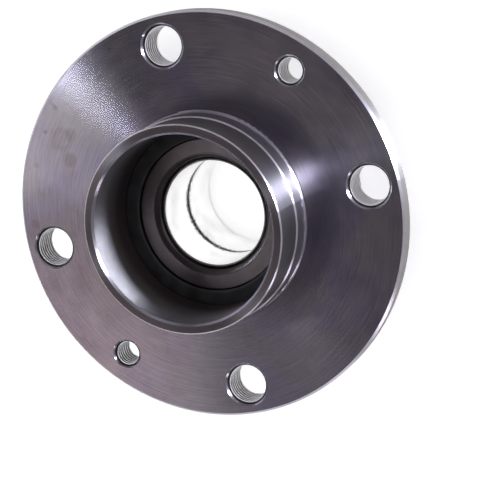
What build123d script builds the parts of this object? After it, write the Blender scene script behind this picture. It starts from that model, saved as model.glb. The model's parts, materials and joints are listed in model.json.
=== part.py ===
from build123d import *
from math import cos, radians, sin
import os

# Wheel hub unit: a flanged outer ring that turns on a double row of angular
# contact balls about a two-piece inner ring, which is clamped on a stub axle.
# Millimetres. Z is the axis of rotation and points outboard, and Z = 0 is the
# flange face that carries the brake disc and the wheel.

# Flange
flange_radius = 57.8
flange_thickness = 10.0
rim_chamfer = 0.7
rim_land = 4.8
rim_draft = 1.9
rim_blend = 1.5
rim_back_fillet = 0.5
pitch_circle_radius = 49.0
wheel_bolt_count = 4
wheel_bolt_radius = 6.0
wheel_bolt_mouth = 0.45
disc_screw_angles = (45, 225)
disc_screw_radius = 4.0
disc_screw_mouth = 0.35

# Spigot: the wheel centres on its nose, the brake disc on its larger root
spigot_height = 17.2
wheel_spigot_radius = 29.0
disc_spigot_radius = 29.5
disc_spigot_height = 6.2
spigot_nose_chamfer = 0.35
spigot_step_chamfer = 0.4
spigot_root_fillet = 0.9
cap_seat_radius = 26.2
cap_seat_end = -3.9
cap_seat_mouth = 0.6

# Hub body behind the flange
bore_radius = 25.9
bore_mouth = 0.35
shoulder_radius = 36.5
shoulder_end = -21.0
barrel_radius = 33.3
barrel_end = -41.0
back_fillet = 4.0
neck_fillet = 3.0
barrel_chamfer = 0.5

# Inner rings
axle_radius = 15.0
ring_radius = 21.75
ring_face = -5.0
ring_width = 18.5
ring_corner = 2.75
ring_edge = 0.25
split_bevel = 0.3
low_land_radius = 19.2
split_z = ring_face - ring_width

# Balls and raceways
ball_radius = 7.938 / 2
ball_count = 14
ball_pitch_radius = 21.9
row_offset = 8.0
contact_angle = 40.0
groove_radius = 0.52 * 2 * ball_radius
contact_gap = 0.10
centre_land_radius = 24.1
groove_shift = groove_radius - ball_radius - contact_gap
radial_shift = groove_shift * cos(radians(contact_angle))
axial_shift = groove_shift * sin(radians(contact_angle))
ball_step = 360 / ball_count

# Snap cages: the ring side lies outside its row, the horns reach past the balls
cage_ring_bore = 21.95
cage_ring_radius = 25.2
cage_ring_reach = 5.3
cage_horn_bore = 20.5
cage_horn_radius = 24.1
cage_horn_reach = 2.9
pocket_clearance = 0.15
bore_cone_start = 0.38 * ball_radius
bore_cone_end = 0.86 * ball_radius
back_cone_end = 0.25 * ball_radius

# Clip that holds the two inner rings together until they are on the axle
clip_bore = 19.35
clip_thickness = 0.6
clip_half_width = 2.4
clip_hook = 0.7
clip_hook_depth = 0.5
clip_opening = 14.0
clip_play = 0.1

# Seals: sheet steel cases pressed in the hub bore, with bonded rubber
case_sheet = 0.8
case_lip_radius = 23.0
outboard_case_face = -4.6
outboard_case_depth = 4.2
inboard_case_face = -37.2
inboard_case_depth = 3.4
rubber_skin = 0.7
rubber_edge_gap = 0.08
lip_gap = 0.12
lip_width = 0.5
throat_radius = 22.5
dust_lip_depth = 0.1
throat_depth = 1.5
throat_width = 1.1
main_lip_depth = 3.4
rubber_depth = 3.2
sleeve_lip_depth = 0.2
web_rubber = 0.6
side_lip_radius = 24.3
side_lip_root = 23.5
slinger_sheet = 0.6
slinger_face = -41.5
slinger_radius = 25.4
slinger_sleeve = 4.4

# The two rows: name, side of the split that the row lies on, angle of ball one
rows = (("outboard", 1, 0.0), ("inboard", -1, ball_step / 2))


def groove(side, inner):
    """Centre, in the r-z half plane, of one raceway's round profile."""
    toward = 1 if inner else -1
    groove_r = ball_pitch_radius + toward * radial_shift
    groove_z = split_z + side * (row_offset - toward * axial_shift)
    return (groove_r, groove_z)


def corner(sketch, r, z):
    """The corner of a profile that lies nearest to radius r and height z."""
    return sketch.vertices().sort_by_distance((r, z))[0]


def finish(part, name):
    """Labels a finished piece and writes its STEP file."""
    part.label = name
    export_step(part, "parts/" + name + ".step")


os.makedirs("parts", exist_ok=True)

# Hub: flange, spigot, body and both outer raceways, turned from one forging
with BuildPart() as hub_flange:
    with BuildSketch(Plane.XZ) as hub_profile:
        with BuildLine():
            Polyline(
                (cap_seat_radius, spigot_height),
                (wheel_spigot_radius, spigot_height),
                (wheel_spigot_radius, disc_spigot_height),
                (disc_spigot_radius, disc_spigot_height),
                (disc_spigot_radius, 0),
                (flange_radius, 0),
                (flange_radius, -rim_land),
                (flange_radius - rim_draft, -flange_thickness),
                (shoulder_radius, -flange_thickness),
                (shoulder_radius, shoulder_end),
                (barrel_radius, shoulder_end - back_fillet),
                (barrel_radius, barrel_end),
                (bore_radius, barrel_end),
                (bore_radius, split_z - row_offset),
                (centre_land_radius, split_z - row_offset),
                (centre_land_radius, split_z + row_offset),
                (bore_radius, split_z + row_offset),
                (bore_radius, cap_seat_end),
                (cap_seat_radius, cap_seat_end),
                close=True,
            )
        make_face()
        for side in (1, -1):
            with Locations(groove(side, inner=False)):
                Circle(groove_radius, mode=Mode.SUBTRACT)
        fillet(corner(hub_profile, disc_spigot_radius, 0), spigot_root_fillet)
        fillet(corner(hub_profile, shoulder_radius, -flange_thickness), back_fillet)
        fillet(corner(hub_profile, shoulder_radius, shoulder_end), neck_fillet)
        fillet(corner(hub_profile, barrel_radius, shoulder_end - back_fillet), neck_fillet)
        fillet(corner(hub_profile, flange_radius, -rim_land), rim_blend)
        fillet(corner(hub_profile, flange_radius - rim_draft, -flange_thickness), rim_back_fillet)
        chamfer(corner(hub_profile, cap_seat_radius, spigot_height), cap_seat_mouth)
        chamfer(corner(hub_profile, wheel_spigot_radius, spigot_height), spigot_nose_chamfer)
        chamfer(corner(hub_profile, disc_spigot_radius, disc_spigot_height), spigot_step_chamfer)
        chamfer(corner(hub_profile, flange_radius, 0), rim_chamfer)
        chamfer(corner(hub_profile, barrel_radius, barrel_end), barrel_chamfer)
        chamfer(corner(hub_profile, bore_radius, barrel_end), bore_mouth)
    revolve(axis=Axis.Z)
    with PolarLocations(pitch_circle_radius, wheel_bolt_count):
        Hole(wheel_bolt_radius, depth=flange_thickness)
    for angle in disc_screw_angles:
        with PolarLocations(pitch_circle_radius, 1, start_angle=angle):
            Hole(disc_screw_radius, depth=flange_thickness)
    rims = hub_flange.edges().filter_by(GeomType.CIRCLE)
    chamfer(rims.filter_by(lambda edge: edge.radius == wheel_bolt_radius), wheel_bolt_mouth)
    rims = hub_flange.edges().filter_by(GeomType.CIRCLE)
    chamfer(rims.filter_by(lambda edge: edge.radius == disc_screw_radius), disc_screw_mouth)
finish(hub_flange.part, "hub_flange")

# Inner rings: high shoulder at the open end, low land and clip groove at the split
for name, side, first_angle in rows:
    open_end = split_z + side * ring_width
    clip_z = split_z + side * (clip_half_width - clip_hook / 2 + clip_play / 2)
    with BuildPart() as inner_ring:
        with BuildSketch(Plane.XZ) as ring_profile:
            with BuildLine():
                Polyline(
                    (axle_radius, split_z),
                    (low_land_radius, split_z),
                    (low_land_radius, split_z + side * row_offset),
                    (ring_radius, split_z + side * row_offset),
                    (ring_radius, open_end),
                    (axle_radius, open_end),
                    close=True,
                )
            make_face()
            with Locations(groove(side, inner=True)):
                Circle(groove_radius, mode=Mode.SUBTRACT)
            fillet(corner(ring_profile, axle_radius, open_end), ring_corner)
            chamfer(corner(ring_profile, ring_radius, open_end), ring_edge)
            chamfer(corner(ring_profile, axle_radius, split_z), split_bevel)
            with Locations((low_land_radius, clip_z)):
                Rectangle(2 * clip_hook_depth, clip_hook + clip_play, mode=Mode.SUBTRACT)
        revolve(axis=Axis.Z)
    finish(inner_ring.part, "inner_ring_" + name)

# Clip: an open spring band whose two hooked edges sit in the grooves of the rings
with BuildPart() as ring_clip:
    with BuildSketch(Plane.XZ):
        with Locations((clip_bore + clip_thickness / 2, split_z)):
            Rectangle(clip_thickness, 2 * clip_half_width)
        hook_depth = clip_bore - low_land_radius + clip_hook_depth - clip_play
        hook_z = clip_half_width - clip_hook / 2
        with Locations(
            (clip_bore - hook_depth / 2, split_z + hook_z),
            (clip_bore - hook_depth / 2, split_z - hook_z),
        ):
            Rectangle(hook_depth, clip_hook)
    revolve(axis=Axis.Z, revolution_arc=360 - clip_opening)
finish(ring_clip.part, "inner_ring_clip")

# Balls: each row lies on its own pitch circle, and the rows are half a step apart
for name, side, first_angle in rows:
    for number in range(ball_count):
        with BuildPart() as ball:
            row_plane = Plane.XY.offset(split_z + side * row_offset)
            angle = first_angle + number * ball_step
            with Locations(row_plane):
                with PolarLocations(ball_pitch_radius, 1, start_angle=angle):
                    Sphere(ball_radius)
        finish(ball.part, f"ball_{name}_{number + 1:02d}")

# Cages: a moulded ring with one round pocket per ball, open towards the split
for name, side, first_angle in rows:
    row_z = split_z + side * row_offset
    with BuildPart() as cage:
        with BuildSketch(Plane.XZ):
            with BuildLine():
                Polyline(
                    (cage_horn_bore, row_z - side * cage_horn_reach),
                    (cage_horn_bore, row_z + side * bore_cone_start),
                    (cage_ring_bore, row_z + side * bore_cone_end),
                    (cage_ring_bore, row_z + side * cage_ring_reach),
                    (cage_ring_radius, row_z + side * cage_ring_reach),
                    (cage_ring_radius, row_z + side * back_cone_end),
                    (cage_horn_radius, row_z - side * cage_horn_reach),
                    close=True,
                )
            make_face()
        revolve(axis=Axis.Z)
        with Locations(Plane.XY.offset(row_z)):
            with PolarLocations(ball_pitch_radius, ball_count, start_angle=first_angle):
                Sphere(ball_radius + pocket_clearance, mode=Mode.SUBTRACT)
    finish(cage.part, "cage_" + name)

# Outboard seal case: an L of sheet steel, pressed in the bore from the cup side
with BuildPart() as seal_case_outboard:
    with BuildSketch(Plane.XZ) as case_profile:
        with BuildLine():
            Polyline(
                (bore_radius, outboard_case_face - outboard_case_depth),
                (bore_radius, outboard_case_face),
                (case_lip_radius, outboard_case_face),
                (case_lip_radius, outboard_case_face - case_sheet),
                (bore_radius - case_sheet, outboard_case_face - case_sheet),
                (bore_radius - case_sheet, outboard_case_face - outboard_case_depth),
                close=True,
            )
        make_face()
        fillet(corner(case_profile, bore_radius, outboard_case_face), case_sheet)
    revolve(axis=Axis.Z)
finish(seal_case_outboard.part, "seal_case_outboard")

# Outboard seal rubber: a skin over the case, and two lips on the ring
with BuildPart() as seal_lip_outboard:
    skin_top = outboard_case_face + rubber_skin
    lip_radius = ring_radius + lip_gap
    with BuildSketch(Plane.XZ):
        with BuildLine():
            Polyline(
                (bore_radius - rubber_edge_gap, outboard_case_face),
                (bore_radius - rubber_edge_gap, skin_top),
                (throat_radius, skin_top),
                (lip_radius, skin_top - dust_lip_depth),
                (lip_radius, skin_top - dust_lip_depth - lip_width),
                (throat_radius, skin_top - throat_depth),
                (throat_radius, skin_top - throat_depth - throat_width),
                (lip_radius, skin_top - main_lip_depth),
                (lip_radius, skin_top - main_lip_depth - lip_width),
                (case_lip_radius, skin_top - rubber_depth),
                (case_lip_radius, outboard_case_face),
                close=True,
            )
        make_face()
    revolve(axis=Axis.Z)
finish(seal_lip_outboard.part, "seal_lip_outboard")

# Slinger: a stainless L pressed on the inboard ring, turning face of the cassette
with BuildPart() as seal_slinger:
    with BuildSketch(Plane.XZ) as slinger_profile:
        with BuildLine():
            Polyline(
                (ring_radius, slinger_face),
                (slinger_radius, slinger_face),
                (slinger_radius, slinger_face + slinger_sheet),
                (ring_radius + slinger_sheet, slinger_face + slinger_sheet),
                (ring_radius + slinger_sheet, slinger_face + slinger_sleeve),
                (ring_radius, slinger_face + slinger_sleeve),
                close=True,
            )
        make_face()
        fillet(corner(slinger_profile, ring_radius, slinger_face), slinger_sheet)
    revolve(axis=Axis.Z)
finish(seal_slinger.part, "seal_slinger")

# Inboard seal case: pressed in the bore from the back, its web towards the balls
with BuildPart() as seal_case_inboard:
    with BuildSketch(Plane.XZ) as case_profile:
        with BuildLine():
            Polyline(
                (bore_radius, inboard_case_face - inboard_case_depth),
                (bore_radius, inboard_case_face),
                (case_lip_radius, inboard_case_face),
                (case_lip_radius, inboard_case_face - case_sheet),
                (bore_radius - case_sheet, inboard_case_face - case_sheet),
                (bore_radius - case_sheet, inboard_case_face - inboard_case_depth),
                close=True,
            )
        make_face()
        fillet(corner(case_profile, bore_radius, inboard_case_face), case_sheet)
    revolve(axis=Axis.Z)
finish(seal_case_inboard.part, "seal_case_inboard")

# Inboard seal rubber: a radial lip on the sleeve and a side lip on the slinger
with BuildPart() as seal_lip_inboard:
    web_back = inboard_case_face - case_sheet
    sleeve_radius = ring_radius + slinger_sheet + lip_gap
    side_lip_z = slinger_face + slinger_sheet + lip_gap
    with BuildSketch(Plane.XZ):
        with BuildLine():
            Polyline(
                (case_lip_radius, inboard_case_face),
                (sleeve_radius, inboard_case_face - sleeve_lip_depth),
                (sleeve_radius, inboard_case_face - sleeve_lip_depth - lip_width),
                (case_lip_radius, web_back - web_rubber),
                (side_lip_root, web_back - web_rubber),
                (side_lip_radius, side_lip_z),
                (side_lip_radius + lip_width, side_lip_z),
                (side_lip_root + web_rubber, web_back),
                (case_lip_radius, web_back),
                close=True,
            )
        make_face()
    revolve(axis=Axis.Z)
finish(seal_lip_inboard.part, "seal_lip_inboard")
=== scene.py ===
import bpy
import json
from math import cos, pi, radians, sin
from mathutils import Matrix, Vector


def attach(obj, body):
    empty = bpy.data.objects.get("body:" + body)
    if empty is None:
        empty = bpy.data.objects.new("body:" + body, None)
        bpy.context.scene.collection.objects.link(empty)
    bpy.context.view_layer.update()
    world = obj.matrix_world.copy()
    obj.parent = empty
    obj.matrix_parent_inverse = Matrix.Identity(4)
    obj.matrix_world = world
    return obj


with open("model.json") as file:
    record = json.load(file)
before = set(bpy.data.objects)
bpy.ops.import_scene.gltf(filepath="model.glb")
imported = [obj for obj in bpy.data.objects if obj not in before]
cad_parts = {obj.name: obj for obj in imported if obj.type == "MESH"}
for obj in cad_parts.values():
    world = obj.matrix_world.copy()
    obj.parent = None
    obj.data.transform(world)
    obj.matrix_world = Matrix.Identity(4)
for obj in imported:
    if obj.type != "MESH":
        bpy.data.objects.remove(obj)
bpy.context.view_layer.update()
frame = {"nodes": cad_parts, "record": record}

mm = 0.001
noiseLow, noiseHigh = 0.3, 0.7   # most of a noise lies between these
cloudLow, cloudHigh = 0.35, 0.65     # its middle part, for clouds that stand out more
nodes = frame["nodes"]
mounts = {mount["name"]: mount for mount in frame["record"]["mounts"]}
holeCircle = mounts["wheel_bolts"]["dims"]["pcd_mm"] / 2
holeStep = pi / 4        # all six holes stand at eighths of a turn


def linear(hexColour):
    # sRGB hex to the linear colour that the shaders take
    channels = [int(hexColour[place:place + 2], 16) / 255 for place in (1, 3, 5)]
    curve = [c / 12.92 if c <= 0.04045 else ((c + 0.055) / 1.055) ** 2.4 for c in channels]
    return (*curve, 1.0)


def addNode(tree, kind, inputs=None, output=0, **settings):
    # adds a node, sets its settings, links or fills its inputs, and gives one of its outputs;
    # an input is a socket, a number, a vector or a hex colour, and a Mix node takes two colours
    # at its inputs 6 and 7 and gives theirs at its output 2
    node = tree.nodes.new("ShaderNode" + kind)
    for name, value in settings.items():
        setattr(node, name, value)
    for name, value in (inputs or {}).items():
        if isinstance(value, bpy.types.NodeSocket):
            tree.links.new(value, node.inputs[name])
        else:
            node.inputs[name].default_value = linear(value) if isinstance(value, str) else value
    return node.outputs[output] if len(node.outputs) else None


def newMaterial(name):
    # a material with no nodes yet
    material = bpy.data.materials.new(name)
    material.use_nodes = True
    material.node_tree.nodes.clear()
    return material, material.node_tree


def placeOn(tree):
    # the position on the piece in millimetres
    metres = addNode(tree, "TexCoord", output="Object")
    return addNode(tree, "VectorMath", {0: metres, "Scale": 1 / mm}, operation="SCALE")


def turnedPlace(tree, place):
    # the same round the axis: its flat part, radius and height
    split = addNode(tree, "SeparateXYZ", {0: place}).node.outputs
    flat = addNode(tree, "CombineXYZ", {0: split[0], 1: split[1]})
    radius = addNode(tree, "VectorMath", {0: flat}, "Value", operation="LENGTH")
    return flat, radius, split[2]


def softBand(tree, value, low, high, soft):
    # 1 where low < value < high, with soft edges
    rise = addNode(tree, "MapRange", {"Value": value, "From Min": low - soft, "From Max": low + soft})
    fall = addNode(tree, "MapRange", {"Value": value, "From Min": high + soft, "From Max": high - soft})
    return addNode(tree, "Math", {0: rise, 1: fall}, operation="MULTIPLY")


def holeCentre(tree, place):
    # centre, in millimetres, of the hole that lies nearest round the axis
    split = addNode(tree, "SeparateXYZ", {0: place}).node.outputs
    angle = addNode(tree, "Math", {0: split[1], 1: split[0]}, operation="ARCTAN2")
    step = addNode(tree, "Math", {0: angle, 1: holeStep}, operation="DIVIDE")
    step = addNode(tree, "Math", {0: step}, operation="ROUND")
    angle = addNode(tree, "Math", {0: step, 1: holeStep}, operation="MULTIPLY")
    across = addNode(tree, "Math", {0: angle}, operation="COSINE")
    upward = addNode(tree, "Math", {0: angle}, operation="SINE")
    way = addNode(tree, "CombineXYZ", {0: across, 1: upward})
    return addNode(tree, "VectorMath", {0: way, "Scale": holeCircle}, operation="SCALE")


def dress(names, material):
    for name in names:
        for slot in nodes[name].material_slots:
            slot.material = material


hubSteelLook = {
    "base": "#c1bbbd",
    "violetStain": "#b6afbf",
    "brownStain": "#b9a7a4",
    "wall": "#8f8b8e",
    "discSeat": "#908c8f",
    "grazing": "#837d80",
    # the cup is painted darker towards its bottom: painted shade where its rim keeps the light off the wall
    "cupMouth": "#a29e9d",
    "cupDepthPaintedShade": "#625a58",
    "nose": "#88807f",
    "edge": "#f6f2f8",
    "rim": "#b3b1af",
    "back": "#8f8b89",
    "faceRough": (0.15, 0.2),
    "wallRough": 0.3,
    "cupRough": 0.6,
    "seatRough": 0.33,
    "noseRough": 0.3,
    "edgeRough": 0.3,
    "backRough": 0.45,
    "toolPitch": 0.45,       # mm between tool marks, coarser than the real 0.15 so that they show
    "toolDepth": 0.004,
    "smearShare": 0.5,       # share of the relief that the smears make, the rings make the rest
    "smearTurn": 2.5,        # how quickly a smear changes round the axis
    "ringTone": (0.93, 1.05),
    "smearTone": (0.9, 1.08),
    "broadPatch": 26,        # mm across a patch of violet
    "violetSpan": (0.42, 0.62),
    "cloudPatch": 9,
    "brownSpan": (0.55, 0.72),
    "brownMost": 0.5,
    "wanderPatch": 2,        # mm over which the outline of a stain wanders
    "anisotropy": 0.95,
    "quarterTurn": 0.25,     # turns the spread of light across the tool marks
    "wallSlope": (0.55, 0.45),
    "levelSlope": (0.93, 0.97),
    "noseHeight": (16.2, 16.7),
    "seatZone": (0.0, 6.0, 0.1),    # a zone goes from, to, and has a soft edge
    "spigotZone": (28, 31, 0.2),
    "holeZone": (41.5, 56.0, 0.1),
    "cupRadius": (27.1, 26.7),
    "cupPits": (-0.32, 0.52),   # slopes of the pits that shot blasting left in the cup
    "cupPaintedShadeFade": (1.0, 10.5),  # heights between which the cup's colour turns from dark to bright: painted shade deep in the cup, where its rim keeps the light off
    "spigotDull": 0.12,      # share of the spigot's wall that a dry film of oil makes matt
    "seatDull": 0.2,         # the same, on top of that, on the disc's seat
    "rimRadius": (56.5, 56.7),
    "frontDepth": (-1.2, -1.0),   # the bright broken edges end here
    "backRadius": (40, 39),
    "backDepth": (-6, -7),
    "rimBackDepth": (-9.3, -9.6),
}
faceStains = [               # mm on the flange face: oil and water marks left by handling
    {"at": (-44, -26), "inner": 0, "outer": 16, "soft": 22, "colour": "#bba6a9", "amount": 0.5},
    {"at": (-37.6, 29.9), "inner": 2.4, "outer": 3.1, "soft": 0.7, "colour": "#a5a1a6", "amount": 0.35},
    {"at": (-34.4, 30.7), "inner": 0, "outer": 1.5, "soft": 0.8, "colour": "#a5a0a1", "amount": 0.4},
    {"at": (-36.7, 23.8), "inner": 0, "outer": 1.6, "soft": 1.0, "colour": "#a39795", "amount": 0.6},
    {"at": (-47.9, 24.5), "inner": 0, "outer": 0.4, "soft": 0.5, "colour": "#9a9095", "amount": 0.4},
    {"at": (-53.0, 7.7), "inner": 0, "outer": 0.9, "soft": 0.9, "colour": "#a78f91", "amount": 0.5},
    {"at": (-42.3, 33.2), "inner": 0, "outer": 0.4, "soft": 0.4, "colour": "#8d878c", "amount": 0.5},
    {"at": (-37.1, 39.5), "inner": 0, "outer": 0.5, "soft": 0.6, "colour": "#9a9398", "amount": 0.4},
    {"at": (-15.9, 51.7), "inner": 0, "outer": 0.3, "soft": 0.2, "colour": "#a5565a", "amount": 0.8},
]


def holeTangent(tree, place, flat):
    # on the walls and mouths of the holes the tool turned about the hole's own axis
    centre = holeCentre(tree, place)
    offset = addNode(tree, "VectorMath", {0: flat, 1: centre}, operation="SUBTRACT")
    around = addNode(tree, "VectorMath", {0: (0, 0, 1), 1: offset}, operation="CROSS_PRODUCT")
    around = addNode(tree, "VectorMath", {0: around}, operation="NORMALIZE")
    turned = {"vector_type": "VECTOR", "convert_from": "OBJECT", "convert_to": "WORLD"}
    return addNode(tree, "VectorTransform", {0: around}, **turned)


def turnedHubSteel():
    # carbon steel, forged and fine-turned: the tool leaves rings round the axis,
    # so light spreads across the rings and draws into radial bands
    look = hubSteelLook
    material, tree = newMaterial("fineTurnedForgedSteel")
    place = placeOn(tree)
    flat, radius, height = turnedPlace(tree, place)

    # tool marks: even rings, and smears that change slowly round the axis
    along = addNode(tree, "Math", {0: radius, 1: height}, operation="ADD")
    ray = addNode(tree, "VectorMath", {0: flat}, operation="NORMALIZE")
    ray = addNode(tree, "VectorMath", {0: ray, "Scale": look["smearTurn"]}, operation="SCALE")
    lift = addNode(tree, "CombineXYZ", {2: along})
    smearPlace = addNode(tree, "VectorMath", {0: ray, 1: lift}, operation="ADD")
    marks = {"Scale": 1 / look["toolPitch"], "Detail": 3, "Roughness": 0.6}
    smears = addNode(tree, "TexNoise", {"Vector": smearPlace, **marks})
    rings = addNode(tree, "TexNoise", {"W": along, **marks}, noise_dimensions="1D")
    broad = addNode(tree, "TexNoise", {"Vector": place, "Scale": 1 / look["broadPatch"], "Detail": 3})
    cloud = addNode(tree, "TexNoise", {
        "Vector": place, "Scale": 1 / look["cloudPatch"], "Detail": 4, "Roughness": 0.62,
    })

    # walls, level faces, and the broken edges between them, told apart by their slope
    facing = addNode(tree, "TexCoord", output="Normal")
    upward = addNode(tree, "SeparateXYZ", {0: facing}, "Z")
    upward = addNode(tree, "Math", {0: upward}, operation="ABSOLUTE")
    steep, flatter = look["wallSlope"]
    wall = addNode(tree, "MapRange", {"Value": upward, "From Min": steep, "From Max": flatter})
    sloping, flattest = look["levelSlope"]
    level = addNode(tree, "MapRange", {"Value": upward, "From Min": sloping, "From Max": flattest})
    low, high = look["frontDepth"]
    front = addNode(tree, "MapRange", {"Value": height, "From Min": low, "From Max": high})
    notWall = addNode(tree, "Math", {0: 1.0, 1: wall}, operation="SUBTRACT")
    between = addNode(tree, "Math", {0: notWall, 1: level}, operation="SUBTRACT")
    between = addNode(tree, "Math", {0: between, 1: 0.0}, operation="MAXIMUM")
    edge = addNode(tree, "Math", {0: between, 1: front}, operation="MULTIPLY")

    # the cup, the rim, the spigot with its nose and its disc seat, and the back
    high, low = look["cupRadius"]
    inside = addNode(tree, "MapRange", {"Value": radius, "From Min": high, "From Max": low})
    cup = addNode(tree, "Math", {0: wall, 1: inside}, operation="MULTIPLY")
    low, high = look["rimRadius"]
    outside = addNode(tree, "MapRange", {"Value": radius, "From Min": low, "From Max": high})
    rim = addNode(tree, "Math", {0: wall, 1: outside}, operation="MULTIPLY")
    low, high = look["noseHeight"]
    top = addNode(tree, "MapRange", {"Value": height, "From Min": low, "From Max": high})
    nose = addNode(tree, "Math", {0: level, 1: top}, operation="MULTIPLY")
    spigot = softBand(tree, radius, *look["spigotZone"])
    spigot = addNode(tree, "Math", {0: wall, 1: spigot}, operation="MULTIPLY")
    seat = softBand(tree, height, *look["seatZone"])
    seat = addNode(tree, "Math", {0: spigot, 1: seat}, operation="MULTIPLY")
    far, near = look["backRadius"]
    body = addNode(tree, "MapRange", {"Value": radius, "From Min": far, "From Max": near})
    high, low = look["backDepth"]
    below = addNode(tree, "MapRange", {"Value": height, "From Min": high, "From Max": low})
    body = addNode(tree, "Math", {0: body, 1: below}, operation="MULTIPLY")
    high, low = look["rimBackDepth"]
    behind = addNode(tree, "MapRange", {"Value": height, "From Min": high, "From Max": low})
    back = addNode(tree, "Math", {0: body, 1: behind}, operation="MAXIMUM")

    # temper colours and stains on the bare steel, then the tone and finish of each place, with painted
    # shade deep in the cup
    low, high = look["violetSpan"]
    amount = addNode(tree, "MapRange", {"Value": broad, "From Min": low, "From Max": high})
    tint = addNode(tree, "Mix", {
        "Factor": amount, 6: look["base"], 7: look["violetStain"],
    }, 2, data_type="RGBA")
    low, high = look["brownSpan"]
    amount = addNode(tree, "MapRange", {
        "Value": cloud, "From Min": low, "From Max": high, "To Max": look["brownMost"],
    })
    tint = addNode(tree, "Mix", {"Factor": amount, 6: tint, 7: look["brownStain"]}, 2, data_type="RGBA")
    drift = addNode(tree, "TexNoise", {"Vector": place, "Scale": 1 / look["wanderPatch"]}, 1)
    wander = addNode(tree, "VectorMath", {0: flat, 1: drift}, operation="ADD")
    driftMean = 0.5          # taken off again, so that the stains stay where they are put
    for stain in faceStains:
        middle = (stain["at"][0] + driftMean, stain["at"][1] + driftMean, driftMean)
        distance = addNode(tree, "VectorMath", {0: wander, 1: middle}, "Value", operation="DISTANCE")
        mark = addNode(tree, "MapRange", {
            "Value": distance, "From Min": stain["outer"] + stain["soft"], "From Max": stain["outer"],
            "To Max": stain["amount"],
        })
        if stain["inner"]:
            hollow = addNode(tree, "MapRange", {
                "Value": distance, "From Min": stain["inner"] - stain["soft"], "From Max": stain["inner"],
            })
            mark = addNode(tree, "Math", {0: mark, 1: hollow}, operation="MULTIPLY")
        tint = addNode(tree, "Mix", {"Factor": mark, 6: tint, 7: stain["colour"]}, 2, data_type="RGBA")
    # painted shade: the cup's colour darkens with depth, for the shade that its rim casts on the wall
    low, high = look["cupPaintedShadeFade"]
    fade = addNode(tree, "MapRange", {"Value": height, "From Min": low, "From Max": high})
    cupPaintedShadeTint = addNode(tree, "Mix", {
        "Factor": fade, 6: look["cupDepthPaintedShade"], 7: look["cupMouth"],
    }, 2, data_type="RGBA")
    low, high = look["faceRough"]
    rough = addNode(tree, "MapRange", {
        "Value": cloud, "From Min": noiseLow, "From Max": noiseHigh, "To Min": low, "To Max": high,
    })
    for mask, colour, finish in (
        (wall, look["wall"], "wallRough"),
        (cup, cupPaintedShadeTint, "cupRough"),
        (seat, look["discSeat"], "seatRough"),
        (nose, look["nose"], "noseRough"),
        (edge, look["edge"], "edgeRough"),
        (rim, look["rim"], "edgeRough"),
        (back, look["back"], "backRough"),
    ):
        tint = addNode(tree, "Mix", {"Factor": mask, 6: tint, 7: colour}, 2, data_type="RGBA")
        rough = addNode(tree, "Mix", {0: mask, 2: rough, 3: look[finish]})
    low, high = look["ringTone"]
    ringTone = addNode(tree, "MapRange", {
        "Value": rings, "From Min": noiseLow, "From Max": noiseHigh, "To Min": low, "To Max": high,
    })
    low, high = look["smearTone"]
    smearTone = addNode(tree, "MapRange", {
        "Value": smears, "From Min": noiseLow, "From Max": noiseHigh, "To Min": low, "To Max": high,
    })
    tone = addNode(tree, "Math", {0: ringTone, 1: smearTone}, operation="MULTIPLY")
    toned = addNode(tree, "VectorMath", {0: tint, "Scale": tone}, operation="SCALE")
    bare = addNode(tree, "Math", {0: spigot, 1: -look["spigotDull"], 2: 1.0}, operation="MULTIPLY_ADD")
    bare = addNode(tree, "Math", {0: seat, 1: -look["seatDull"], 2: bare}, operation="MULTIPLY_ADD")

    # the tool marks run round the hub's axis, and inside a hole round the hole's own
    radial = addNode(tree, "Tangent", direction_type="RADIAL", axis="Z")
    notLevel = addNode(tree, "Math", {0: 1.0, 1: level}, operation="SUBTRACT")
    hole = softBand(tree, radius, *look["holeZone"])
    hole = addNode(tree, "Math", {0: hole, 1: notLevel}, operation="MULTIPLY")
    around = holeTangent(tree, place, flat)
    tangent = addNode(tree, "Mix", {0: hole, 4: radial, 5: around}, 1, data_type="VECTOR")

    # pits too small to draw: each point of the cup leans its own way round the axis
    low, high = look["cupPits"]
    lean = addNode(tree, "TexWhiteNoise", {"Vector": place}, noise_dimensions="3D")
    lean = addNode(tree, "MapRange", {"Value": lean, "To Min": low, "To Max": high})
    lean = addNode(tree, "Math", {0: lean, 1: cup}, operation="MULTIPLY")
    lean = addNode(tree, "VectorMath", {0: radial, "Scale": lean}, operation="SCALE")
    straight = addNode(tree, "NewGeometry", output="Normal")
    pitted = addNode(tree, "VectorMath", {0: straight, 1: lean}, operation="ADD")
    pitted = addNode(tree, "VectorMath", {0: pitted}, operation="NORMALIZE")
    relief = addNode(tree, "Mix", {0: look["smearShare"], 2: rings, 3: smears})
    relief = addNode(tree, "Bump", {
        "Height": relief, "Distance": look["toolDepth"] * mm, "Strength": 1.0, "Normal": pitted,
    })
    surface = addNode(tree, "BsdfPrincipled", {
        "Base Color": toned,
        "Metallic": bare,
        "Roughness": rough,
        "Specular Tint": look["grazing"],
        "Anisotropic": look["anisotropy"],
        "Anisotropic Rotation": look["quarterTurn"],
        "Tangent": tangent,
        "Normal": relief,
    })
    addNode(tree, "OutputMaterial", {"Surface": surface})
    return material


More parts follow.
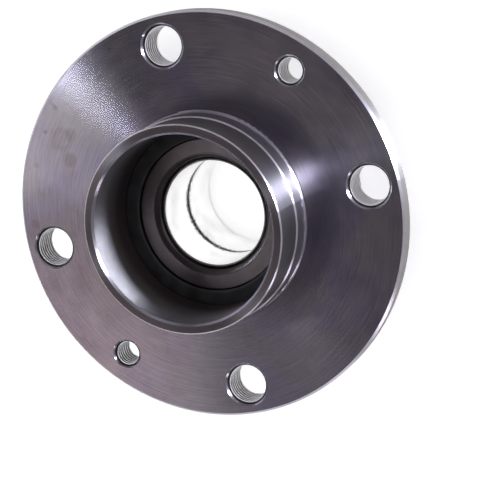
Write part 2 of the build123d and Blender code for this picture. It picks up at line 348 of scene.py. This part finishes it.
ringSteelLook = {
    "face": "#a59c99",
    "bore": "#fbfbfb",
    # the rounded corner between face and bore is painted darker: painted shade
    "corner": "#6f6a68",
    "grime": "#25221f",
    "faceRough": 0.38,
    "boreRough": 0.12,
    "cornerRough": 0.25,
    "boreZone": (14.0, 15.06, 0.03),      # from, to and soft edge, in mm from the axis
    "cornerZone": (15.06, 17.75, 0.08),
    "grindPitch": 0.35,      # mm between grinding marks, coarser than real so that they show
    "grindDepth": 0.002,
    "splitHeight": -23.5,
    "grimeWidth": 1.3,       # mm of old grease on each side of the split
    "grimeRagged": 1.2,      # mm that its edge wanders
    "grimeSoft": 0.08,
    "grimeRadius": (16.0, 15.5),     # it stays in the bore
    "grimeSpeck": 0.45,
    "cloudPatch": 5,
    "cloudTone": (0.93, 1.04),
    "smudgePatch": 8,
    "smudgeSpan": (0.5, 0.72),
    "smudgeTone": 0.78,
}


def groundRingSteel():
    # through-hardened bearing steel: the bore is ground bright, the face is plain ground
    # and darker, and old grease fills the line where the two rings meet
    look = ringSteelLook
    material, tree = newMaterial("groundBearingSteel")
    place = placeOn(tree)
    radius, height = turnedPlace(tree, place)[1:]
    along = addNode(tree, "Math", {0: radius, 1: height}, operation="ADD")
    cloud = addNode(tree, "TexNoise", {"Vector": place, "Scale": 1 / look["cloudPatch"], "Detail": 3})
    rings = addNode(tree, "TexNoise", {
        "W": along, "Scale": 1 / look["grindPitch"], "Detail": 3, "Roughness": 0.6,
    }, noise_dimensions="1D")
    bore = softBand(tree, radius, *look["boreZone"])
    corner = softBand(tree, radius, *look["cornerZone"])
    # painted shade: the rounded corner is coloured darker for the shade it lies in deep in the cup
    tint = addNode(tree, "Mix", {"Factor": corner, 6: look["face"], 7: look["corner"]}, 2, data_type="RGBA")
    tint = addNode(tree, "Mix", {"Factor": bore, 6: tint, 7: look["bore"]}, 2, data_type="RGBA")
    low, high = look["cloudTone"]
    tone = addNode(tree, "MapRange", {
        "Value": cloud, "From Min": noiseLow, "From Max": noiseHigh, "To Min": low, "To Max": high,
    })
    smudge = addNode(tree, "TexNoise", {
        "Vector": place, "Scale": 1 / look["smudgePatch"], "Detail": 4, "Roughness": 0.6,
    })
    low, high = look["smudgeSpan"]
    smudge = addNode(tree, "MapRange", {
        "Value": smudge, "From Min": low, "From Max": high, "To Min": 1, "To Max": look["smudgeTone"],
    })
    tone = addNode(tree, "Math", {0: tone, 1: smudge}, operation="MULTIPLY")
    toned = addNode(tree, "VectorMath", {0: tint, "Scale": tone}, operation="SCALE")

    # grease on both sides of the split, with a ragged edge
    speck = addNode(tree, "TexNoise", {
        "Vector": place, "Scale": 1 / look["grimeSpeck"], "Detail": 4, "Roughness": 0.75,
    })
    ragged = addNode(tree, "MapRange", {
        "Value": speck, "From Min": cloudLow, "From Max": cloudHigh,
        "To Min": -look["grimeRagged"], "To Max": look["grimeRagged"],
    })
    fromSplit = addNode(tree, "Math", {0: height, 1: look["splitHeight"]}, operation="SUBTRACT")
    fromSplit = addNode(tree, "Math", {0: fromSplit}, operation="ABSOLUTE")
    fromSplit = addNode(tree, "Math", {0: fromSplit, 1: ragged}, operation="ADD")
    high, low = look["grimeWidth"] + look["grimeSoft"], look["grimeWidth"] - look["grimeSoft"]
    grime = addNode(tree, "MapRange", {"Value": fromSplit, "From Min": high, "From Max": low})
    high, low = look["grimeRadius"]
    inBore = addNode(tree, "MapRange", {"Value": radius, "From Min": high, "From Max": low})
    grime = addNode(tree, "Math", {0: grime, 1: inBore}, operation="MULTIPLY")
    toned = addNode(tree, "Mix", {"Factor": grime, 6: toned, 7: look["grime"]}, 2, data_type="RGBA")
    rough = addNode(tree, "Mix", {0: corner, 2: look["faceRough"], 3: look["cornerRough"]})
    rough = addNode(tree, "Math", {
        0: bore, 1: look["boreRough"] - look["faceRough"], 2: rough,
    }, operation="MULTIPLY_ADD")
    relief = addNode(tree, "Bump", {"Height": rings, "Distance": look["grindDepth"] * mm, "Strength": 1.0})
    surface = addNode(tree, "BsdfPrincipled", {
        "Base Color": toned, "Metallic": 1.0, "Roughness": rough, "Normal": relief,
    })
    addNode(tree, "OutputMaterial", {"Surface": surface})
    return material


threadLook = {
    "flank": "#fcfafc",
    "torn": "#e2dee2",
    "root": "#1c1a1b",
    "rootDepth": 0.5,        # mm of the thread's depth painted dark: painted shade in the roots
    "rootSoft": 0.05,
    "tornPatch": 1.6,
    "tornSpan": (0.4, 0.75),
    "rough": (0.3, 0.42),
    "metallic": 0.0,         # the torn flanks scatter light as a matt white would
}


def threadSteel(name, thread):
    # steel cut by a tap: bright torn flanks, and painted shade in the roots
    look = threadLook
    material, tree = newMaterial(name)
    place = placeOn(tree)
    flat = turnedPlace(tree, place)[0]
    centre = holeCentre(tree, place)
    fromAxis = addNode(tree, "VectorMath", {0: flat, 1: centre}, "Value", operation="DISTANCE")
    rootRadius = thread["major"] - look["rootDepth"]
    low, high = rootRadius - look["rootSoft"], rootRadius + look["rootSoft"]
    # painted shade: the roots of the thread are coloured near black where they lie in shade
    dark = addNode(tree, "MapRange", {"Value": fromAxis, "From Min": low, "From Max": high})
    cloud = addNode(tree, "TexNoise", {"Vector": place, "Scale": 1 / look["tornPatch"], "Detail": 3})
    low, high = look["tornSpan"]
    torn = addNode(tree, "MapRange", {"Value": cloud, "From Min": low, "From Max": high})
    tint = addNode(tree, "Mix", {"Factor": torn, 6: look["flank"], 7: look["torn"]}, 2, data_type="RGBA")
    tint = addNode(tree, "Mix", {"Factor": dark, 6: tint, 7: look["root"]}, 2, data_type="RGBA")
    low, high = look["rough"]
    rough = addNode(tree, "MapRange", {
        "Value": cloud, "From Min": noiseLow, "From Max": noiseHigh, "To Min": low, "To Max": high,
    })
    surface = addNode(tree, "BsdfPrincipled", {
        "Base Color": tint, "Metallic": look["metallic"], "Roughness": rough,
    })
    addNode(tree, "OutputMaterial", {"Surface": surface})
    return material


rubberLook = {
    "dark": "#141415",
    "grey": "#1f1f21",
    "smearPatch": 4,
    "smearSpan": (0.4, 0.7),
    "grain": 0.25,           # mm of the mould's spark-eroded grain
    "grainDepth": 0.01,
    "grainStrength": 0.4,
    "rough": (0.34, 0.5),
}


def nitrileRubber():
    # moulded black nitrile: dark, with a soft grey sheen and fine mould grain
    look = rubberLook
    material, tree = newMaterial("mouldedNitrileRubber")
    place = placeOn(tree)
    grain = addNode(tree, "TexNoise", {"Vector": place, "Scale": 1 / look["grain"], "Detail": 3})
    smear = addNode(tree, "TexNoise", {"Vector": place, "Scale": 1 / look["smearPatch"], "Detail": 3})
    low, high = look["smearSpan"]
    amount = addNode(tree, "MapRange", {"Value": smear, "From Min": low, "From Max": high})
    tint = addNode(tree, "Mix", {"Factor": amount, 6: look["dark"], 7: look["grey"]}, 2, data_type="RGBA")
    low, high = look["rough"]
    rough = addNode(tree, "MapRange", {
        "Value": smear, "From Min": noiseLow, "From Max": noiseHigh, "To Min": low, "To Max": high,
    })
    relief = addNode(tree, "Bump", {
        "Height": grain, "Distance": look["grainDepth"] * mm, "Strength": look["grainStrength"],
    })
    surface = addNode(tree, "BsdfPrincipled", {"Base Color": tint, "Roughness": rough, "Normal": relief})
    addNode(tree, "OutputMaterial", {"Surface": surface})
    return material


ballSteel = {"light": "#d6d7d9", "dark": "#cfd0d2", "rough": (0.04, 0.07), "patch": 3}      # lapped bright
sheetSteel = {"light": "#aeadab", "dark": "#9c9b99", "rough": (0.28, 0.4), "patch": 2}      # pressed, dull
stainlessSheet = {"light": "#bcbbb9", "dark": "#adacab", "rough": (0.2, 0.3), "patch": 3}   # pressed, satin
springStrip = {"light": "#8f8f92", "dark": "#7b7b80", "rough": (0.25, 0.35), "patch": 2}    # tempered grey


def plainSteel(name, look):
    # drawn or pressed sheet and polished balls: one tone with a soft cloud of another
    material, tree = newMaterial(name)
    place = placeOn(tree)
    cloud = addNode(tree, "TexNoise", {"Vector": place, "Scale": 1 / look["patch"], "Detail": 3})
    amount = addNode(tree, "MapRange", {"Value": cloud, "From Min": cloudLow, "From Max": cloudHigh})
    tint = addNode(tree, "Mix", {"Factor": amount, 6: look["light"], 7: look["dark"]}, 2, data_type="RGBA")
    low, high = look["rough"]
    rough = addNode(tree, "MapRange", {
        "Value": cloud, "From Min": noiseLow, "From Max": noiseHigh, "To Min": low, "To Max": high,
    })
    surface = addNode(tree, "BsdfPrincipled", {"Base Color": tint, "Metallic": 1.0, "Roughness": rough})
    addNode(tree, "OutputMaterial", {"Surface": surface})
    return material


polyamideLook = {
    "cream": "#cfc4a3",
    "tan": "#b7a985",
    "fibrePatch": 0.8,
    "fibreSpan": (0.35, 0.7),
    "fibreDepth": 0.01,
    "rough": 0.45,
    "glow": 0.1,             # share of light that goes in and comes out again
    "glowDepth": 0.6,
}


def mouldedPolyamide():
    # natural glass-filled nylon: cream, waxy, with a slight cloud from the fibres
    look = polyamideLook
    material, tree = newMaterial("mouldedGlassFilledPolyamide")
    place = placeOn(tree)
    cloud = addNode(tree, "TexNoise", {"Vector": place, "Scale": 1 / look["fibrePatch"], "Detail": 4})
    low, high = look["fibreSpan"]
    amount = addNode(tree, "MapRange", {"Value": cloud, "From Min": low, "From Max": high})
    tint = addNode(tree, "Mix", {"Factor": amount, 6: look["cream"], 7: look["tan"]}, 2, data_type="RGBA")
    relief = addNode(tree, "Bump", {"Height": cloud, "Distance": look["fibreDepth"] * mm, "Strength": 1.0})
    surface = addNode(tree, "BsdfPrincipled", {
        "Base Color": tint,
        "Roughness": look["rough"],
        "Subsurface Weight": look["glow"],
        "Subsurface Scale": look["glowDepth"] * mm,
        "Normal": relief,
    })
    addNode(tree, "OutputMaterial", {"Surface": surface})
    return material


dress(["hub_flange"], turnedHubSteel())
dress(["inner_ring_outboard", "inner_ring_inboard"], groundRingSteel())
dress(["seal_lip_outboard", "seal_lip_inboard"], nitrileRubber())
dress(["cage_outboard", "cage_inboard"], mouldedPolyamide())
dress([name for name in nodes if name.startswith("ball_")], plainSteel("lappedBallSteel", ballSteel))
dress(["seal_case_outboard", "seal_case_inboard"], plainSteel("pressedSheetSteel", sheetSteel))
dress(["seal_slinger"], plainSteel("pressedStainlessSheet", stainlessSheet))
dress(["inner_ring_clip"], plainSteel("springSteelStrip", springStrip))
print("materials on", len(nodes), "CAD nodes")


# threads cut in the six flange holes
wheelBoltThread = {"major": 6.0, "minor": 5.32, "pitch": 1.25, "mouth": 0.45, "angles": (0, 90, 180, 270)}
discScrewThread = {"major": 4.0, "minor": 3.32, "pitch": 1.25, "mouth": 0.35, "angles": (45, 225)}
threadCut = {
    "flangeDepth": 10.0,
    "steps": 40,             # sides of one turn
    "sunk": 0.06,            # how far the ridge stands in the wall of the hole
    "rootFlat": 0.16,        # flat that the tap leaves between two ridges
    "crestShare": 0.25,      # width of a crest, as a share of the pitch
    "overlap": 0.1,          # how far the mouth's cone reaches past the crests
    "coneSides": 64,
    "mergeWithin": 0.001,
    "smoothUpTo": 30,        # degrees
}


def selectNone():
    if bpy.context.object and bpy.context.object.mode != "OBJECT":
        bpy.ops.object.mode_set(mode="OBJECT")
    bpy.ops.object.select_all(action="DESELECT")


def applyModifier(piece, kind, **settings):
    bpy.context.view_layer.objects.active = piece
    modifier = piece.modifiers.new(kind.lower(), kind)
    for name, value in settings.items():
        setattr(modifier, name, value)
    bpy.ops.object.modifier_apply(modifier=modifier.name)


def mouthCone(thread, face, outward):
    # the tapered mouth, from past the flange's face to just inside the crests
    deep = thread["major"] + thread["mouth"] - thread["minor"] + threadCut["overlap"]
    past = 2 * thread["pitch"]
    inner = thread["minor"] - threadCut["overlap"]
    outer = inner + deep + past
    bpy.ops.mesh.primitive_cone_add(
        vertices=threadCut["coneSides"],
        radius1=(inner if outward > 0 else outer) * mm,
        radius2=(outer if outward > 0 else inner) * mm,
        depth=(deep + past) * mm,
        location=(0, 0, (face + outward * (past - deep) / 2) * mm),
    )
    cone = bpy.context.object
    cone.hide_render = True
    return cone


def threadRidge(name, thread, material):
    # one ridge: a section stood at the wall, narrowed to its crest, and screwed up the hole
    selectNone()
    width = thread["pitch"] - threadCut["rootFlat"]
    crest = thread["pitch"] * threadCut["crestShare"]
    reach = thread["major"] + threadCut["sunk"] - thread["minor"]
    turns = int(threadCut["flangeDepth"] / thread["pitch"]) + 1
    bpy.ops.mesh.primitive_plane_add(size=mm, location=(0, 0, 0))
    ridge = bpy.context.object
    ridge.name = name
    bpy.ops.object.mode_set(mode="EDIT")
    bpy.ops.transform.rotate(value=pi / 2, orient_axis="X", center_override=(0, 0, 0))
    bpy.ops.transform.resize(value=(reach, 1, width), center_override=(0, 0, 0))
    bpy.ops.mesh.select_all(action="DESELECT")
    bpy.ops.object.mode_set(mode="OBJECT")
    for vertex in ridge.data.vertices:
        vertex.select = vertex.co.x < 0
    bpy.ops.object.mode_set(mode="EDIT")
    bpy.ops.transform.resize(value=(1, 1, crest / width), center_override=(0, 0, 0))
    bpy.ops.mesh.select_all(action="SELECT")
    start = -threadCut["flangeDepth"] - thread["pitch"] / 2
    bpy.ops.transform.translate(value=((thread["minor"] + reach / 2) * mm, 0, start * mm))
    bpy.ops.object.mode_set(mode="OBJECT")
    applyModifier(
        ridge, "SCREW", steps=threadCut["steps"], render_steps=threadCut["steps"],
        screw_offset=thread["pitch"] * mm, iterations=turns, use_normal_calculate=True,
    )
    bpy.ops.object.mode_set(mode="EDIT")
    bpy.ops.mesh.select_all(action="SELECT")
    bpy.ops.mesh.remove_doubles(threshold=threadCut["mergeWithin"] * mm)
    bpy.ops.mesh.select_all(action="DESELECT")
    bpy.ops.mesh.select_non_manifold()
    bpy.ops.mesh.fill_holes(sides=0)
    bpy.ops.mesh.select_all(action="SELECT")
    bpy.ops.mesh.normals_make_consistent(inside=False)
    bpy.ops.object.mode_set(mode="OBJECT")
    for face, outward in ((0, 1), (-threadCut["flangeDepth"], -1)):
        cone = mouthCone(thread, face, outward)
        applyModifier(ridge, "BOOLEAN", operation="DIFFERENCE", solver="EXACT", object=cone)
        bpy.data.objects.remove(cone)
    selectNone()
    ridge.select_set(True)
    bpy.context.view_layer.objects.active = ridge
    bpy.ops.object.shade_smooth_by_angle(angle=radians(threadCut["smoothUpTo"]))
    ridge.data.materials.clear()
    ridge.data.materials.append(material)
    return ridge


def threadHoles(title, thread, material):
    # the ridge is cut once and copied into each hole of its size
    first = threadRidge(title + "_1", thread, material)
    pieces = [first]
    for number in range(2, len(thread["angles"]) + 1):
        copy = first.copy()
        copy.data = first.data.copy()
        copy.name = f"{title}_{number}"
        bpy.context.scene.collection.objects.link(copy)
        pieces.append(copy)
    for piece, angle in zip(pieces, thread["angles"]):
        turn = radians(angle)
        piece.data.transform(Matrix.Translation(Vector((cos(turn), sin(turn), 0)) * holeCircle * mm))
        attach(piece, "hub")


threadHoles("wheel_bolt_thread", wheelBoltThread, threadSteel("tappedWheelBoltThread", wheelBoltThread))
threadHoles("disc_screw_thread", discScrewThread, threadSteel("tappedDiscScrewThread", discScrewThread))
print("threads cut in", len(wheelBoltThread["angles"]) + len(discScrewThread["angles"]), "holes")


stage = {
    "floorHeight": -42.0,
    "floorSize": 8.0,        # m
    "floorColour": "#e4e4e4",
    "floorGlow": 0.62,       # what the camera sees on top of the lamps' light
    "floorShine": 0.62,      # the same, for what the metal shows
    "floorRough": 0.9,
    "floorGloss": 0.1,
}


def makeFloor():
    selectNone()
    bpy.ops.mesh.primitive_plane_add(size=stage["floorSize"], location=(0, 0, stage["floorHeight"] * mm))
    floor = bpy.context.object
    floor.name = "floor"
    material, tree = newMaterial("palePaintedFloor")
    path = addNode(tree, "LightPath").node.outputs
    seen = addNode(tree, "Math", {
        0: path["Is Camera Ray"], 1: path["Is Transmission Ray"],
    }, operation="MAXIMUM")
    shine = addNode(tree, "Math", {0: path["Is Glossy Ray"], 1: stage["floorShine"]}, operation="MULTIPLY")
    glow = addNode(tree, "Math", {0: seen, 1: stage["floorGlow"], 2: shine}, operation="MULTIPLY_ADD")
    surface = addNode(tree, "BsdfPrincipled", {
        "Base Color": stage["floorColour"],
        "Roughness": stage["floorRough"],
        "Specular IOR Level": stage["floorGloss"],
        "Emission Color": "#ffffff",
        "Emission Strength": glow,
    })
    addNode(tree, "OutputMaterial", {"Surface": surface})
    floor.data.materials.append(material)


room = {
    "colour": "#f2ecfe",
    "dark": 0.02,
    "glows": [               # degrees: where the middle of each soft light stands, and its spread
        {"azimuth": 12, "height": 24, "core": 6, "fade": 32, "strength": 0.6},
        {"azimuth": 195, "height": 76, "core": 14, "fade": 45, "strength": 0.05},
        {"azimuth": 210, "height": 56, "core": 3, "fade": 12, "strength": 0.32},
        {"azimuth": 110, "height": 50, "core": 6, "fade": 28, "strength": 0.12},
        {"azimuth": 290, "height": 50, "core": 6, "fade": 28, "strength": 0.12},
        {"azimuth": 20, "height": 58, "core": 6, "fade": 24, "strength": 0.1},
        {"azimuth": 65, "height": 18, "core": 10, "fade": 40, "strength": 0.22},
        {"azimuth": 150, "height": 18, "core": 10, "fade": 45, "strength": 0.2},
        {"azimuth": 225, "height": 15, "core": 10, "fade": 40, "strength": 0.2},
        {"azimuth": 335, "height": 22, "core": 8, "fade": 28, "strength": 0.2},
        {"azimuth": 275, "height": 1, "core": 4, "fade": 10, "strength": 1.2},
        {"azimuth": 301, "height": 1, "core": 4, "fade": 10, "strength": 7.0},
    ],
}


def makeRoom():
    # a dim room with soft lights in it, so that the metal shows mostly its lamps and the pale floor
    world = bpy.data.worlds.new("studio")
    world.use_nodes = True
    bpy.context.scene.world = world
    tree = world.node_tree
    tree.nodes.clear()
    direction = addNode(tree, "TexCoord", output="Generated")
    strength = room["dark"]
    for glow in room["glows"]:
        turn, tilt = radians(glow["azimuth"]), radians(glow["height"])
        middle = (cos(tilt) * cos(turn), cos(tilt) * sin(turn), sin(tilt))
        near = addNode(tree, "VectorMath", {0: direction, 1: middle}, "Value", operation="DOT_PRODUCT")
        part = addNode(tree, "MapRange", {
            "Value": near, "From Min": cos(radians(glow["fade"])), "From Max": cos(radians(glow["core"])),
            "To Max": glow["strength"],
        }, interpolation_type="SMOOTHSTEP")
        strength = addNode(tree, "Math", {0: strength, 1: part}, operation="ADD")
    seen = addNode(tree, "LightPath", output="Is Camera Ray")
    strength = addNode(tree, "Math", {0: strength, 1: seen}, operation="MAXIMUM")
    colour = addNode(tree, "Mix", {"Factor": seen, 6: room["colour"], 7: "#ffffff"}, 2, data_type="RGBA")
    background = addNode(tree, "Background", {"Color": colour, "Strength": strength})
    addNode(tree, "OutputWorld", {"Surface": background})


lamps = {                    # places and sizes in metres, power in watts
    "lowRightStrip": {"at": (0.882, 0.124, 0.125), "size": (0.2, 0.13), "power": 26.0, "colour": "#e2e9ff"},
    "leftPanel": {"at": (-0.579, -0.102, 0.809), "size": (0.53, 0.22), "power": 0.22, "colour": "#fff6fb"},
    "leftWindow": {"at": (-0.586, 0.051, 0.809), "size": (0.2, 0.2), "power": 0.075, "colour": "#f4f6ff"},
    "leftSpot": {"at": (-0.6, 0.2, 0.775), "size": (0.06, 0.06), "power": 0.5, "colour": "#dfe8ff"},
    "topFill": {"at": (0.1, 0.0, 1.2), "size": (1.0, 1.0), "power": 12.0, "colour": "#ffffff"},
}
mattOnly = ("topFill",)          # lights rubber, nylon and the floor, and stays out of the metal
metalOnly = ("lowRightStrip",)   # shows in the metal, and would be too much for the rest


def makeLamps():
    for name, lamp in lamps.items():
        light = bpy.data.lights.new(name, "AREA")
        light.shape = "RECTANGLE"
        light.size, light.size_y = lamp["size"]
        light.energy = lamp["power"]
        light.color = linear(lamp["colour"])[:3]
        holder = bpy.data.objects.new(name, light)
        holder.location = lamp["at"]
        holder.rotation_euler = Vector(lamp["at"]).to_track_quat("Z", "Y").to_euler()
        holder.visible_glossy = name not in mattOnly
        holder.visible_diffuse = name not in metalOnly
        bpy.context.scene.collection.objects.link(holder)


camera = {
    "at": (0.1871, 0.0518, 0.4081),
    "aim": (0.0110, -0.0112, 0.0),
    "up": (0.1662, 0.9612, -0.2202),
    "lens": 116.5,
    "nearest": 0.01,
}


def makeCamera():
    back = (Vector(camera["at"]) - Vector(camera["aim"])).normalized()
    right = Vector(camera["up"]).cross(back).normalized()
    holder = bpy.data.objects.new("camera", bpy.data.cameras.new("camera"))
    turn = Matrix((right, back.cross(right), back)).transposed().to_4x4()
    holder.matrix_world = Matrix.Translation(camera["at"]) @ turn
    holder.data.lens = camera["lens"]
    holder.data.clip_start = camera["nearest"]
    bpy.context.scene.collection.objects.link(holder)
    bpy.context.scene.camera = holder


makeFloor()
makeRoom()
makeLamps()
makeCamera()
bpy.context.scene.view_settings.view_transform = "Standard"
print("stage, light and camera set")
